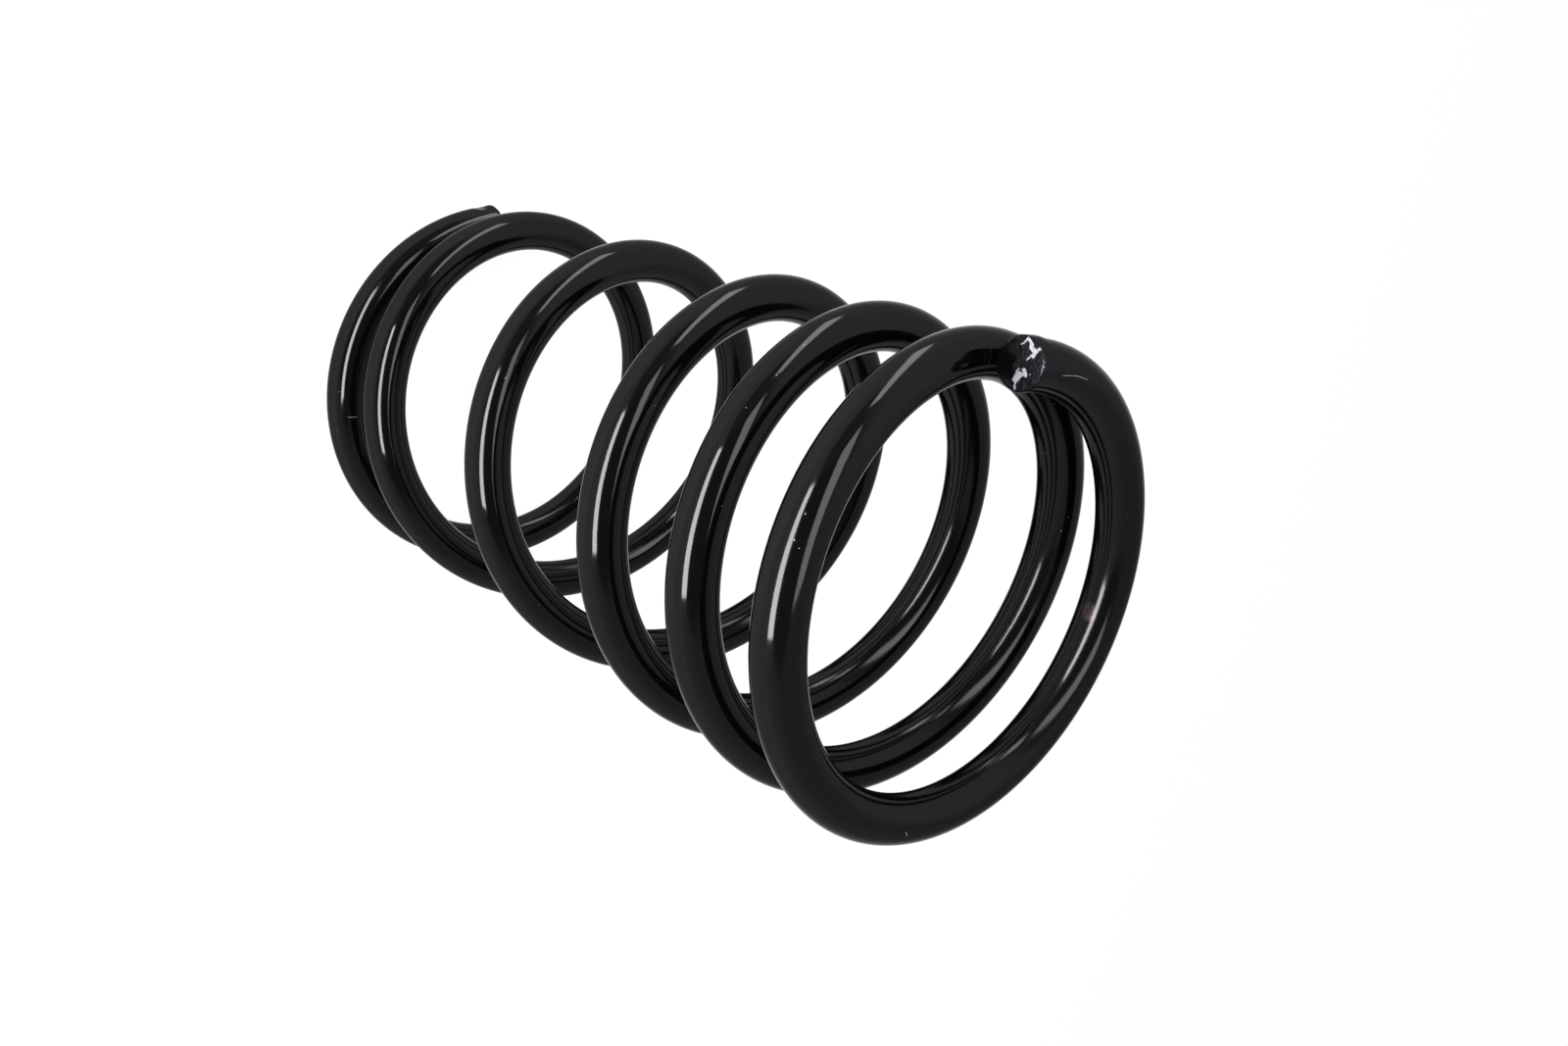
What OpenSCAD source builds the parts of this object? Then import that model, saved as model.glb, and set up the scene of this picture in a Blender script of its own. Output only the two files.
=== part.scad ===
// Suspension coil spring, cold-wound from one round steel wire, right-hand, free length.
// It stands on its closed lower end: Z is the coil's axis and Z = 0 is the seat plane.
// Heights are counted in turns of wire from the lower end, which starts on the X axis.

/* [Wire and coil] */
// Wire diameter
wire_d = 13; // [10:0.5:15]
// Coil diameter, measured on the wire's centre line
coil_mean_d = 118; // [95:1:150]
// Turns of wire from cut end to cut end
turns = 5.98; // [5.48:0.02:8]

/* [Working turns] */
// Rise per turn where the stiff turns end, the widest spacing in the coil
stiff_pitch = 69; // [58:1:80]
// Turns at the stiff pitch, counted from the end of the closed lower turn
stiff_turns = 1.45; // [1:0.05:1.8]
// Turns over which the spacing changes from stiff to soft
change_turns = 0.75; // [0.5:0.05:1]
// Rise per turn where the soft turns begin
soft_pitch = 41; // [34:1:48]

/* [Closed ends] */
// Clear gap between a cut end and the next turn beside it
end_gap = 1; // [0.5:0.25:3]
// Turns of wire that lie flat on the lower seat
base_flat_turns = 0.55; // [0.4:0.05:0.65]
// Turns of wire that lie flat under the upper seat
top_flat_turns = 0.21; // [0.1:0.01:0.3]
// Turns over which the wire bends up from the flat to the soft spacing
top_bend_turns = 0.6; // [0.4:0.05:0.65]

/* [Sheared ends] */
// Width of the rounded rim round each cut face
rim_break = 0.6; // [0.3:0.1:1.2]
// Slope of the upper cut face, which leaves the side away from the seat longer
top_cut_slope = 8; // [2:1:20]
// Slope of the lower cut face, which leaves the outside of the coil longer than the inside
base_cut_slope = 13; // [2:1:22]
// Height of the burr that the shears left on the outside of the lower end
base_burr_h = 0.7; // [0.2:0.1:1]
// Height of the burr on the outside of the upper end
top_burr_h = 0.4; // [0.2:0.1:1]
// Length of wire that each burr covers at its full height
burr_len = 5; // [3:0.5:7]
// Length of wire over which each burr rises from the round
burr_rise = 3; // [2:0.5:5]

/* [Smoothness] */
// Flats round the wire
wire_sides = 16; // [12:4:20]
// Rings of the sweep in one turn of the coil
rings_per_turn = 48; // [36:2:48]

/* [Hidden] */
wire_r = wire_d / 2;
coil_r = coil_mean_d / 2;
turn_length = PI * coil_mean_d;
// Each closed end turn climbs just far enough to pass over its own cut end.
end_climb = wire_d + end_gap;
base_bend_pitch = 2 * end_climb / (1 - base_flat_turns);
top_rest_turns = max(0, 1 - top_flat_turns - top_bend_turns);
top_bend_pitch = end_climb / (top_rest_turns + top_bend_turns / 2);
// The round wire starts where the cuts, their rims and the burrs have ended.
cut_depth = wire_r * tan(max(top_cut_slope, base_cut_slope));
cut_reach = cut_depth + rim_break + burr_len + burr_rise;
cut_turns = cut_reach / turn_length;
body_rings = ceil((turns - 2 * cut_turns) * rings_per_turn);

// Turn and pitch at each station of the winding, from the lower cut end to the upper one.
// Between two stations the pitch changes evenly.
STATIONS = [
    [0, 0],
    [base_flat_turns, 0],
    [1, base_bend_pitch],
    [1 + stiff_turns, stiff_pitch],
    [1 + stiff_turns + change_turns, soft_pitch],
    [turns - 1, top_bend_pitch],
    [turns - top_flat_turns - top_bend_turns, top_bend_pitch],
    [turns - top_flat_turns, 0],
    [turns, 0]
];

function total(v, i = 0) = i < len(v) ? v[i] + total(v, i + 1) : 0;

// Rise between two stations, up to turn s.
function span_rise(a, b, s) =
    let (width = b[0] - a[0], part = min(max(s - a[0], 0), width))
    width > 0 ? part * a[1] + part * part * (b[1] - a[1]) / (2 * width) : 0;

// Height of the wire's centre line at turn s.
function height(s) =
    wire_r + total([for (i = [0 : len(STATIONS) - 2]) span_rise(STATIONS[i], STATIONS[i + 1], s)]);

function pitch(s) = lookup(s, STATIONS);

// Directions at turn s: out from the axis, along the wire, and the third one, which points upward.
function outward(s) = [cos(360 * s), sin(360 * s), 0];
function along(s) =
    let (v = [-turn_length * sin(360 * s), turn_length * cos(360 * s), pitch(s)])
    v / norm(v);
function centre(s) = coil_r * outward(s) + [0, 0, height(s)];

// A point of the wire at turn s, measured outward and upward in its round section.
function wire_point(s, out, up) =
    let (n = outward(s))
    centre(s) + out * n + up * cross(n, along(s));

// Depth of each cut at a point of the section, below the wire's end, measured along the wire.
// Both cuts are slanted planes: the lower one slants across the coil, the upper one along its axis.
function base_cut(out) = -out * tan(base_cut_slope);
function top_cut(up) = up * tan(top_cut_slope);

// Extra radius of a burr of height h, which lies on the outer side of the coil.
function burr(h, angle) = h * pow(max(0, cos(angle)), 3);

function side_angle(j) = 360 * j / wire_sides;

function body_ring(s) = [
    for (j = [0 : wire_sides - 1])
        wire_point(s, wire_r * cos(side_angle(j)), wire_r * sin(side_angle(j)))
];

// Ring of a cut face at radius r of the section, with a burr of height h, sunk below the face.
function base_ring(r, h, sink) = [
    for (j = [0 : wire_sides - 1])
        let (a = side_angle(j), out = (r + burr(h, a)) * cos(a), up = (r + burr(h, a)) * sin(a))
        wire_point((base_cut(out) + sink) / turn_length, out, up)
];
function top_ring(r, h, sink) = [
    for (j = [0 : wire_sides - 1])
        let (a = side_angle(j), out = (r + burr(h, a)) * cos(a), up = (r + burr(h, a)) * sin(a))
        wire_point(turns - (top_cut(up) + sink) / turn_length, out, up)
];

// All rings in order: lower cut face, body of the wire, upper cut face.
rim_r = wire_r - rim_break;
mid_r = wire_r - rim_break / 3;
RINGS = concat(
    [base_ring(rim_r / 2, 0, 0),
     base_ring(rim_r, base_burr_h, 0),
     base_ring(mid_r, base_burr_h, rim_break / 3),
     base_ring(wire_r, base_burr_h, rim_break),
     base_ring(wire_r, base_burr_h, rim_break + burr_len)],
    [for (i = [0 : body_rings])
        body_ring(cut_turns + (turns - 2 * cut_turns) * i / body_rings)],
    [top_ring(wire_r, top_burr_h, rim_break + burr_len),
     top_ring(wire_r, top_burr_h, rim_break),
     top_ring(mid_r, top_burr_h, rim_break / 3),
     top_ring(rim_r, top_burr_h, 0),
     top_ring(rim_r / 2, 0, 0)]
);

// One closed skin: two triangles in each quarter between rings, and a fan on each cut face.
module swept_wire() {
    last = len(RINGS) - 1;
    base_centre = len(RINGS) * wire_sides;
    top_centre = base_centre + 1;
    points = concat(
        [for (ring = RINGS) each ring],
        [centre(0), centre(turns)]
    );
    faces = concat(
        [for (i = [0 : last - 1], j = [0 : wire_sides - 1])
            let (
                k = (j + 1) % wire_sides,
                a = i * wire_sides + j,
                b = i * wire_sides + k,
                c = b + wire_sides,
                d = a + wire_sides
            )
            each [[a, b, c], [a, c, d]]],
        [for (j = [0 : wire_sides - 1]) [base_centre, (j + 1) % wire_sides, j]],
        [for (j = [0 : wire_sides - 1])
            [top_centre, last * wire_sides + j, last * wire_sides + (j + 1) % wire_sides]]
    );
    polyhedron(points = points, faces = faces, convexity = 12);
}

module coil_spring() {
    color([0.06, 0.06, 0.07]) swept_wire();
}

coil_spring();
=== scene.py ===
# %% [markdown]
# This lesson builds a suspension coil spring in Blender, around a CAD model of it.
# The real spring starts as one straight round steel bar. It is sheared to length, wound into a coil,
# and then coated in gloss black. The lesson follows the same order, because each trace on the real
# spring comes from one of those steps. A straight bar is also far easier to model than a coil.

# %% Load the imported model and keep its box
import math

import bmesh
import bpy
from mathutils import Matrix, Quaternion, Vector


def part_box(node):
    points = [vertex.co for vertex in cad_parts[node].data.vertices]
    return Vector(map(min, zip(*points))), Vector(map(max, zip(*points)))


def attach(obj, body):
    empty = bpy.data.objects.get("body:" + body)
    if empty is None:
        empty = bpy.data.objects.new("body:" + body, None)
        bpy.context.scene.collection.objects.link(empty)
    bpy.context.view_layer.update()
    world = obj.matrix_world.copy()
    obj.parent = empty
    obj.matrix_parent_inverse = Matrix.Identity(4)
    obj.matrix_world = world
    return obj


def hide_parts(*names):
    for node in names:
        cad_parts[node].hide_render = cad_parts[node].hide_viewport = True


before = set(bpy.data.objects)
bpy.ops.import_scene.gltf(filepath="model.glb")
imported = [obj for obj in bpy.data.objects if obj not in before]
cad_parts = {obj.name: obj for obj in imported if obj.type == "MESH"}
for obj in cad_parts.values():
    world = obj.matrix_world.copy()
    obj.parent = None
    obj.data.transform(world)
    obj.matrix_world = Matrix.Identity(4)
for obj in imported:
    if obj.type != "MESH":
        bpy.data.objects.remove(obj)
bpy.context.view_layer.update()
MM = 0.001
PART = "coil_spring"
cad_low, cad_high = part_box(PART)
print("CAD box in mm:", [round(side / MM, 1) for side in cad_high - cad_low])

# %% [markdown]
# The camera stands above the spring's upper end and looks down along the coil, quite close, through
# a short lens. That is why the near turn looks so much larger than the far one. A camera could be
# turned by three Euler angles, but two points and a roll are easier to read: where it stands, what it
# looks at, and how far it leans to one side. Here it leans so far that the standing coil lies across
# the picture.

# %% Camera
CAMERA_PLACE = Vector((0.13506, 0.22029, 0.40419))
CAMERA_AIM = Vector((-0.02604, -0.03843, 0.11995))
CAMERA_ROLL = math.radians(114.62)
LENS_MM = 28.738
SENSOR_MM = 36

lens = bpy.data.cameras.new("camera")
lens.sensor_fit = "HORIZONTAL"
lens.sensor_width = SENSOR_MM
lens.lens = LENS_MM
lens.clip_start = 10 * MM
camera = bpy.data.objects.new("camera", lens)
bpy.context.scene.collection.objects.link(camera)
sight = CAMERA_AIM - CAMERA_PLACE
camera.location = CAMERA_PLACE
camera.rotation_mode = "QUATERNION"
camera.rotation_quaternion = sight.to_track_quat("-Z", "Y") @ Quaternion((0, 0, 1), CAMERA_ROLL)
bpy.context.scene.camera = camera
bpy.context.scene.view_settings.view_transform = "Standard"
print("camera stands", round(sight.length, 3), "m from its aim")

# %% [markdown]
# A shader network is a chain of small nodes. The helpers here keep such chains short in code: one
# gives a socket a value or a link, two add a maths node for numbers or for vectors, one takes a vector
# apart, one mixes two values by a mask, and one makes a mask that goes smoothly from 0 to 1.

# %% Helpers for shader networks
def feed(tree, socket, value):
    """Links a socket to another one, or sets its own value."""
    if isinstance(value, bpy.types.NodeSocket):
        tree.links.new(value, socket)
    else:
        socket.default_value = value


def calc(tree, operation, *values):
    """Adds a maths node and returns its output."""
    node = tree.nodes.new("ShaderNodeMath")
    node.operation = operation
    for socket, value in zip(node.inputs, values):
        feed(tree, socket, value)
    return node.outputs[0]


def vector_calc(tree, operation, *values):
    """Adds a maths node for vectors and returns its output."""
    node = tree.nodes.new("ShaderNodeVectorMath")
    node.operation = operation
    for socket, value in zip(node.inputs, values):
        feed(tree, socket, value)
    one_number = operation in ("DOT_PRODUCT", "LENGTH", "DISTANCE")
    return node.outputs["Value" if one_number else "Vector"]


def take_apart(tree, vector):
    """Returns the X, Y and Z of a vector."""
    node = tree.nodes.new("ShaderNodeSeparateXYZ")
    tree.links.new(vector, node.inputs[0])
    return node.outputs


def blend(tree, mask, low, high, colour=False):
    """Mixes two numbers or two colours by a mask, and returns the result."""
    node = tree.nodes.new("ShaderNodeMix")
    node.data_type = "RGBA" if colour else "FLOAT"
    # The node has a pair of inputs and an output of its own for each kind of value.
    first, result = (6, 2) if colour else (2, 0)
    feed(tree, node.inputs[0], mask)
    feed(tree, node.inputs[first], low)
    feed(tree, node.inputs[first + 1], high)
    return node.outputs[result]


def fade_between(tree, value, low, high):
    """Goes smoothly from 0 to 1 while a value goes from low to high."""
    node = tree.nodes.new("ShaderNodeMapRange")
    node.interpolation_type = "SMOOTHSTEP"
    feed(tree, node.inputs["Value"], value)
    feed(tree, node.inputs["From Min"], low)
    feed(tree, node.inputs["From Max"], high)
    return node.outputs["Result"]


# %% [markdown]
# The floor is a plain sheet of white board. A camera that is set for black paint sees such a board as
# pure white. Stronger lamps would do that too, but they would light the spring as well. So the floor
# glows, nearly as bright as white, for the camera and for the rays that a mirror or a glass sends out.
# The rest of its brightness, about a tenth, is light from the lamps, which the spring can shade.

# %% Floor
FLOOR_SIZE = 16.0
FLOOR_COLOUR = (0.16, 0.16, 0.16, 1)
FLOOR_GLOW = 0.90

bpy.ops.object.select_all(action="DESELECT")
bpy.ops.mesh.primitive_plane_add(size=FLOOR_SIZE, location=(0, 0, 0))
floor = bpy.context.object
floor.name = "floor"

board = bpy.data.materials.new("white_board")
board.use_nodes = True
tree = board.node_tree
tree.nodes.clear()
rays = tree.nodes.new("ShaderNodeLightPath")
seen = calc(tree, "MAXIMUM", rays.outputs["Is Camera Ray"], rays.outputs["Is Glossy Ray"])
seen = calc(tree, "MAXIMUM", seen, rays.outputs["Is Transmission Ray"])
matt = tree.nodes.new("ShaderNodeBsdfDiffuse")
matt.inputs["Color"].default_value = FLOOR_COLOUR
glow = tree.nodes.new("ShaderNodeEmission")
feed(tree, glow.inputs["Strength"], calc(tree, "MULTIPLY", seen, FLOOR_GLOW))
both = tree.nodes.new("ShaderNodeAddShader")
tree.links.new(matt.outputs[0], both.inputs[0])
tree.links.new(glow.outputs[0], both.inputs[1])
out = tree.nodes.new("ShaderNodeOutputMaterial")
tree.links.new(both.outputs[0], out.inputs["Surface"])
floor.data.materials.append(board)
print("floor", FLOOR_SIZE, "m across")

# %% [markdown]
# Gloss black has almost no colour of its own: what the eye sees is the studio, mirrored in a thin
# round wire. So the lamps are the most important part of the look. Their mirrored shapes tell where
# they stood, all within arm's reach: a strong wide softbox beside the spring, a long weak one
# overhead, and a narrow leaning one. Each is an area light, given by where its middle is, seen from
# the spring's middle, by where its back points, and by its real size. Its strength is given as plain
# brightness, and the power in watts follows from that and the area.

# %% Softboxes
spring_middle = (cad_low + cad_high) / 2


def direction(azimuth, elevation):
    """Unit vector at a compass angle and a height angle, in degrees."""
    turn, rise = math.radians(azimuth), math.radians(elevation)
    return Vector((math.cos(turn) * math.cos(rise), math.sin(turn) * math.cos(rise), math.sin(rise)))


def softbox(name, place, distance, back, lean, wide, tall, brightness, colour=(1, 1, 1)):
    """Adds an area light. Place and back are pairs of angles, lengths are in metres."""
    light = bpy.data.lights.new(name, "AREA")
    light.shape = "RECTANGLE"
    light.color = colour
    light.size = wide
    light.size_y = tall
    light.energy = math.pi * wide * tall * brightness
    lamp = bpy.data.objects.new(name, light)
    lamp.location = spring_middle + distance * direction(*place)
    lamp.rotation_mode = "QUATERNION"
    upright = direction(*back).to_track_quat("Z", "Y")
    lamp.rotation_quaternion = upright @ Quaternion((0, 0, 1), math.radians(lean))
    bpy.context.scene.collection.objects.link(lamp)
    print(name, "gives", round(light.energy, 2), "W")


softbox(
    "side_softbox", place=(62.9, 21.2), distance=0.537, back=(91.3, 11.3), lean=1.8,
    wide=0.573, tall=0.137, brightness=25.5,
)
softbox(
    "overhead_softbox", place=(17.2, 63.0), distance=0.556, back=(-77.8, 82.0), lean=82.7,
    wide=0.139, tall=0.546, brightness=5.6,
)
softbox(
    "leaning_softbox", place=(-13.3, 14.9), distance=0.448, back=(-25.6, 8.6), lean=-34.5,
    wide=0.080, tall=0.380, brightness=8.2, colour=(1, 0.94, 0.90),
)

# %% [markdown]
# The room round the lamps is pale grey. It is brighter low down, where the white floor lights it, and
# on one wall behind the spring. Just above the floor it turns white, as a studio's backdrop does where
# it curves up from the floor. A room like that could be built from walls, but the wire only mirrors its
# shades, so the world's colour is enough: a direction goes in and a shade comes out.

# %% World
CEILING_GREY = (0.48, 0.47, 0.51, 1)
WALL_GREY = (0.80, 0.79, 0.84, 1)
LIT_WALL = (0.88, 0.86, 0.95, 1)
LIT_WALL_MIDDLE = direction(-62, 32)
LIT_WALL_ANGLES = (22, 52)
BACKDROP_WHITE = (1, 1, 1, 1)
# Heights in degrees where the ceiling and the room above the backdrop fade in.
CEILING_FADE = (2, 60)
BACKDROP_FADE = (2, 7)


def level(angle):
    """Height of a direction above the horizon, as the Z of its unit vector."""
    return math.sin(math.radians(angle))


def above(tree, rise, angles):
    """Mask that goes from 0 to 1 between two heights in degrees."""
    low, high = angles
    return fade_between(tree, rise, level(low), level(high))


def near_direction(tree, way, middle, full_angle, edge_angle):
    """Mask that is 1 round a direction up to one angle from it, and 0 from another angle on."""
    facing = vector_calc(tree, "DOT_PRODUCT", way, middle)
    full, edge = math.cos(math.radians(full_angle)), math.cos(math.radians(edge_angle))
    return fade_between(tree, facing, edge, full)


world = bpy.data.worlds.new("studio")
bpy.context.scene.world = world
world.use_nodes = True
tree = world.node_tree
sky_point = tree.nodes.new("ShaderNodeTexCoord").outputs["Generated"]
rise = take_apart(tree, sky_point)["Z"]
room = blend(tree, above(tree, rise, CEILING_FADE), WALL_GREY, CEILING_GREY, colour=True)
lit = near_direction(tree, sky_point, LIT_WALL_MIDDLE, *LIT_WALL_ANGLES)
room = blend(tree, lit, room, LIT_WALL, colour=True)
room = blend(tree, above(tree, rise, BACKDROP_FADE), BACKDROP_WHITE, room, colour=True)
feed(tree, tree.nodes["Background"].inputs["Color"], room)
print("nodes of the world", len(tree.nodes))

# %% [markdown]
# Where gloss black is photographed, black cloths hang in the room. They give the highlights their black
# borders. A large one hangs behind the camera, and a smaller one low between two of the softboxes. Each
# could be a sheet of its own. Here both are cut from one large ball round the spring, which keeps them
# at one distance. The camera doesn't see them itself, only what the paint mirrors of them.

# %% Black cloths
CLOTH_DISTANCE = 6.0
CLOTH_HEM = 35 * MM
CLOTHS = (
    # middle, angle from it up to which the cloth is full, angle where it has ended, shade
    (direction(56, 50), 34, 48, (0.18, 0.17, 0.18, 1)),
    (direction(10, 14), 16, 26, (0.33, 0.31, 0.29, 1)),
)


def is_off_cloth(way):
    """Tells whether a point of the ball lies outside both cloths, or lower than their hem."""
    past_edges = [math.degrees(way.angle(middle)) - edge_angle for middle, _, edge_angle, _ in CLOTHS]
    return min(past_edges) > 0 or way.z < CLOTH_HEM


bpy.ops.object.select_all(action="DESELECT")
bpy.ops.mesh.primitive_ico_sphere_add(subdivisions=5, radius=CLOTH_DISTANCE, location=spring_middle)
cloths = bpy.context.object
cloths.name = "black_cloths"
cloths.visible_camera = False

bpy.ops.object.mode_set(mode="EDIT")
bpy.ops.mesh.select_mode(type="FACE")
bpy.ops.mesh.select_all(action="DESELECT")
mesh = bmesh.from_edit_mesh(cloths.data)
for face in mesh.faces:
    face.select_set(all(is_off_cloth(vert.co) for vert in face.verts))
bmesh.update_edit_mesh(cloths.data)
bpy.ops.mesh.delete(type="FACE")
bpy.ops.object.mode_set(mode="OBJECT")
print("faces of the cloths", len(cloths.data.polygons))

# %% [markdown]
# A cloth with a sharp border would draw a hard line on the wire. So the pieces of the ball are
# see-through, and over that each cloth's shade fades in towards its middle. Near the floor, where the
# backdrop is white, the shades fade out as well.

# %% Material of the cloths
cloth = bpy.data.materials.new("black_cloth")
cloth.use_nodes = True
tree = cloth.node_tree
tree.nodes.clear()
way = vector_calc(tree, "NORMALIZE", tree.nodes.new("ShaderNodeTexCoord").outputs["Object"])
high = above(tree, take_apart(tree, way)["Z"], BACKDROP_FADE)
surface = tree.nodes.new("ShaderNodeBsdfTransparent").outputs[0]
for middle, full_angle, edge_angle, shade in CLOTHS:
    dark = tree.nodes.new("ShaderNodeEmission")
    dark.inputs["Color"].default_value = shade
    layer = tree.nodes.new("ShaderNodeMixShader")
    covered = near_direction(tree, way, middle, full_angle, edge_angle)
    feed(tree, layer.inputs[0], calc(tree, "MULTIPLY", covered, high))
    tree.links.new(surface, layer.inputs[1])
    tree.links.new(dark.outputs[0], layer.inputs[2])
    surface = layer.outputs[0]
out = tree.nodes.new("ShaderNodeOutputMaterial")
tree.links.new(surface, out.inputs["Surface"])
cloths.data.materials.append(cloth)
print("nodes of the cloths' material", len(tree.nodes))

# %% [markdown]
# A coil is three numbers: the wire's thickness, the coil's diameter and the number of turns. This one
# has a fourth, the spacing, and it changes on the way up. The closed end turns lie flat on their
# seats. Between them the spacing is wide at first, which makes stiff turns, and then narrow, which
# makes soft ones. The spacing is therefore a list of stations, with a straight change between two of
# them, and the height at any turn is the area under that list.

# %% Sizes of the wire and its winding
WIRE_D = 13 * MM
COIL_MEAN_D = 118 * MM
TURNS = 5.98
STIFF_PITCH = 69 * MM
STIFF_TURNS = 1.45
CHANGE_TURNS = 0.75
SOFT_PITCH = 41 * MM
END_GAP = 1 * MM
BASE_FLAT_TURNS = 0.55
TOP_FLAT_TURNS = 0.21
TOP_BEND_TURNS = 0.6

WIRE_R = WIRE_D / 2
COIL_R = COIL_MEAN_D / 2
END_CLIMB = WIRE_D + END_GAP
BASE_BEND_PITCH = 2 * END_CLIMB / (1 - BASE_FLAT_TURNS)
TOP_REST_TURNS = max(0, 1 - TOP_FLAT_TURNS - TOP_BEND_TURNS)
TOP_BEND_PITCH = END_CLIMB / (TOP_REST_TURNS + TOP_BEND_TURNS / 2)

STATIONS = [
    (0, 0),
    (BASE_FLAT_TURNS, 0),
    (1, BASE_BEND_PITCH),
    (1 + STIFF_TURNS, STIFF_PITCH),
    (1 + STIFF_TURNS + CHANGE_TURNS, SOFT_PITCH),
    (TURNS - 1, TOP_BEND_PITCH),
    (TURNS - TOP_FLAT_TURNS - TOP_BEND_TURNS, TOP_BEND_PITCH),
    (TURNS - TOP_FLAT_TURNS, 0),
    (TURNS, 0),
]


def height_at(turn):
    """Height of the wire's centre line, from the spacing of all the turns below."""
    height = WIRE_R
    for (start, low), (end, high) in zip(STATIONS, STATIONS[1:]):
        width = end - start
        part = min(max(turn - start, 0), width)
        if width > 0:
            height += part * low + part * part * (high - low) / (2 * width)
    return height


print("free length", round((height_at(TURNS) + WIRE_R) / MM, 1), "mm")

# %% [markdown]
# The path of the coil is a curve that a loop works out from those sizes. Its many short straight
# pieces keep the wound wire within a few hundredths of a millimetre of the true coil. A smooth
# spline with fewer points would need a table of handles and would bulge between them. Both ends
# stand out by less than half a millimetre, because they spring back when the coil is let go.

# %% The path of the coil
POINTS_PER_TURN = 720
LOWER_FLARE = 0.45 * MM
UPPER_FLARE = 0.30 * MM
FLARE_TURNS = 0.2


def centre_at(turn):
    """Point of the wire's centre line at a turn."""
    angle = 2 * math.pi * turn
    flare = LOWER_FLARE if turn < TURNS / 2 else UPPER_FLARE
    share = max(0, 1 - min(turn, TURNS - turn) / FLARE_TURNS)
    radius = COIL_R + flare * share * share * (3 - 2 * share)
    return Vector((radius * math.cos(angle), radius * math.sin(angle), height_at(turn)))


steps = math.ceil(TURNS * POINTS_PER_TURN)
centres = [centre_at(TURNS * step / steps) for step in range(steps + 1)]
lengths = [0.0]
for first, second in zip(centres, centres[1:]):
    lengths.append(lengths[-1] + (second - first).length)
BAR_LENGTH = lengths[-1]

path_curve = bpy.data.curves.new("coil_path", "CURVE")
path_curve.dimensions = "3D"
path_curve.twist_mode = "Z_UP"
line = path_curve.splines.new("POLY")
line.points.add(steps)
for point, centre in zip(line.points, centres):
    point.co = (*centre, 1)
coil_path = bpy.data.objects.new("coil_path", path_curve)
bpy.context.scene.collection.objects.link(coil_path)


def bar_at(turn):
    """Length of bar from the lower end up to a turn."""
    step = turn / TURNS * steps
    low = min(int(step), steps - 1)
    return lengths[low] + (step - low) * (lengths[low + 1] - lengths[low])


print("bar length", round(BAR_LENGTH, 3), "m")

# %% [markdown]
# The wire could be had at once, as a curve with a round profile, but a straight bar can still be cut and
# dented with simple tools. It is a cylinder along the X axis. When it is wound, X follows the coil, Z
# stays up and minus Y points out from the coil's axis. It starts a little too long, like real bar stock.

# %% The straight bar
WIRE_SIDES = 64
STOCK = 4 * MM

bpy.ops.object.select_all(action="DESELECT")
bpy.ops.mesh.primitive_cylinder_add(
    vertices=WIRE_SIDES,
    radius=WIRE_R,
    depth=BAR_LENGTH + 2 * STOCK,
    location=(BAR_LENGTH / 2, 0, 0),
    rotation=(0, math.pi / 2, 0),
)
wire = bpy.context.object
wire.name = "wound_wire"
bpy.ops.object.transform_apply(location=True, rotation=True, scale=True)
print("bar stock", round(wire.dimensions.x, 3), "m long with", len(wire.data.polygons), "faces")

# %% [markdown]
# Operators act on what is selected. By hand one clicks on a face; in code a test picks it by its
# place or its normal. This helper switches to vertices, edges or faces and selects what passes.

# %% Selecting by a test
def pick(kind, test):
    """Selects in edit mode the verts, edges or faces that pass a test, and returns how many do."""
    bpy.ops.mesh.select_mode(type={"verts": "VERT", "edges": "EDGE", "faces": "FACE"}[kind])
    bpy.ops.mesh.select_all(action="DESELECT")
    mesh = bmesh.from_edit_mesh(wire.data)
    chosen = [item for item in getattr(mesh, kind) if test(item)]
    for item in chosen:
        item.select_set(True)
    mesh.select_flush_mode()
    bmesh.update_edit_mesh(wire.data)
    return len(chosen)


# %% [markdown]
# Shears cut the bar, and never quite squarely. The upper cut slants along the coil's axis, the lower
# one mostly across it. Bisect does the same as the blade: it cuts along a plane, throws away what is
# outside and fills the cut.

# %% Shearing the ends
TOP_CUT_SLOPE = math.radians(8)
BASE_CUT_SLOPE = math.radians(13)
BASE_CUT_LEAN = math.radians(8)


def shear(place, normal):
    """Cuts the bar by a plane and removes what lies beyond it."""
    bpy.ops.mesh.select_all(action="SELECT")
    bpy.ops.mesh.bisect(plane_co=place, plane_no=normal, use_fill=True, clear_outer=True)


bar_end = Vector((BAR_LENGTH, 0, 0))
bpy.ops.object.mode_set(mode="EDIT")
shear(bar_end, (math.cos(TOP_CUT_SLOPE), 0, math.sin(TOP_CUT_SLOPE)))
shear((0, 0, 0), (-1, math.tan(BASE_CUT_SLOPE), -math.tan(BASE_CUT_LEAN)))
print("faces after both cuts", len(bmesh.from_edit_mesh(wire.data).faces))

# %% [markdown]
# The blade drags the rim of the cut along, so it is never a sharp edge. It rounds the side where it
# enters most, and the side where the bar tears off least. On the upper cut it entered from below, on
# the lower cut from outside. A Bevel modifier can do that, because it takes a weight from each edge.
# The edges to bevel are those between a cut face, which looks along the bar, and the bar's side.

# %% Rounding the rims
WIDEST_RIM = 2.0 * MM
UPPER_RIMS = (0.3 * MM, 1.0 * MM)
LOWER_RIMS = (0.6 * MM, 2.0 * MM)
RIM_BREAK = 0.6 * MM
RIM_STEPS = 4
# How much of a face's normal runs along the bar: on a fresh cut, on the flat of a rounded cut, and on
# a cut with most of its rounding.
CUT_FACING = 0.9
FLAT_FACING = 0.97
ROUNDED_FACING = 0.5


def faces_along_bar(least):
    """Makes a test for faces whose normal runs along the bar at least this much."""
    return lambda face: abs(face.normal.x) > least


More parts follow.
